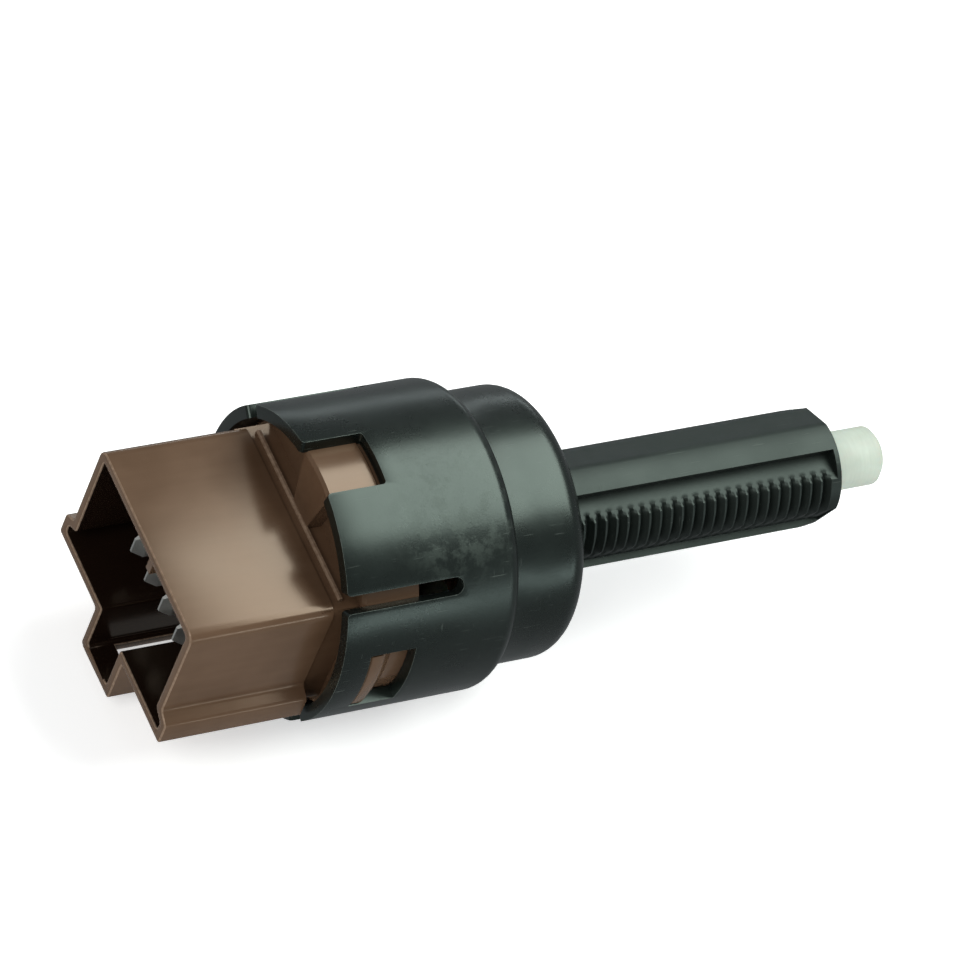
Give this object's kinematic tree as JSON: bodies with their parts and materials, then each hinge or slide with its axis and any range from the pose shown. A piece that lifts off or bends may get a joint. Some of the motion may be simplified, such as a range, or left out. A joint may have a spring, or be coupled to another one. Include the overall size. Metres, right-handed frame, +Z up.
{
  "type": "brake light switch",
  "caption": "Plunger switch for a vehicle brake lamp: stepped black drum, toothed twist-lock stem, pale push rod and brown plug socket.",
  "frame": {"origin": "on the switch axis at the drum's front shoulder, where the stem starts and the pedal bracket bears", "axes": "+X along the switch axis towards the plunger tip, +Z up with the socket's keyway underneath, +Y across the socket's wide side"},
  "size_m": [0.0704, 0.026, 0.026],
  "materials": {
    "housing_black": "black moulded nylon with a soft sheen",
    "base_brown": "brown moulded plastic, glossy",
    "plunger_white": "off-white acetal",
    "terminal_tin": "tin-plated brass",
    "bridge_metal": "bright copper alloy strip",
    "contact_silver": "silver-faced rivet",
    "spring_wire": "drawn spring wire"
  },
  "bodies": {
    "switch_body": {"housing": "housing_black", "connector_base": "base_brown", "stop_terminal_left": "terminal_tin", "stop_terminal_right": "terminal_tin", "cruise_terminal_left": "terminal_tin", "cruise_terminal_right": "terminal_tin", "stop_fixed_contact_left": "contact_silver", "stop_fixed_contact_right": "contact_silver", "cruise_fixed_contact_left": "contact_silver", "cruise_fixed_contact_right": "contact_silver", "return_spring": "spring_wire"},
    "plunger_body": {"plunger": "plunger_white", "contact_carrier": "plunger_white", "stop_bridge_spring": "spring_wire", "cruise_bridge_spring": "spring_wire"},
    "stop_bridge_body": {"stop_bridge": "bridge_metal", "stop_moving_contact_left": "contact_silver", "stop_moving_contact_right": "contact_silver"},
    "cruise_bridge_body": {"cruise_bridge": "bridge_metal", "cruise_moving_contact_left": "contact_silver", "cruise_moving_contact_right": "contact_silver"}
  },
  "joints": [
    {"name": "plunger_slide", "type": "slide", "parent": "switch_body", "child": "plunger_body", "axis": [-1, 0, 0], "range_m": [0, 0.0045], "stiffness_N_per_m": 600, "springref_m": -0.006, "deforming": ["return_spring"]},
    {"name": "stop_bridge_float", "type": "slide", "parent": "plunger_body", "child": "stop_bridge_body", "axis": [-1, 0, 0], "range_m": [0, 0.0006], "stiffness_N_per_m": 300, "springref_m": -0.002, "deforming": ["stop_bridge_spring"]},
    {"name": "cruise_bridge_float", "type": "slide", "parent": "plunger_body", "child": "cruise_bridge_body", "axis": [1, 0, 0], "range_m": [0, 0.0006], "stiffness_N_per_m": 300, "springref_m": -0.002, "deforming": ["cruise_bridge_spring"]}
  ]
}
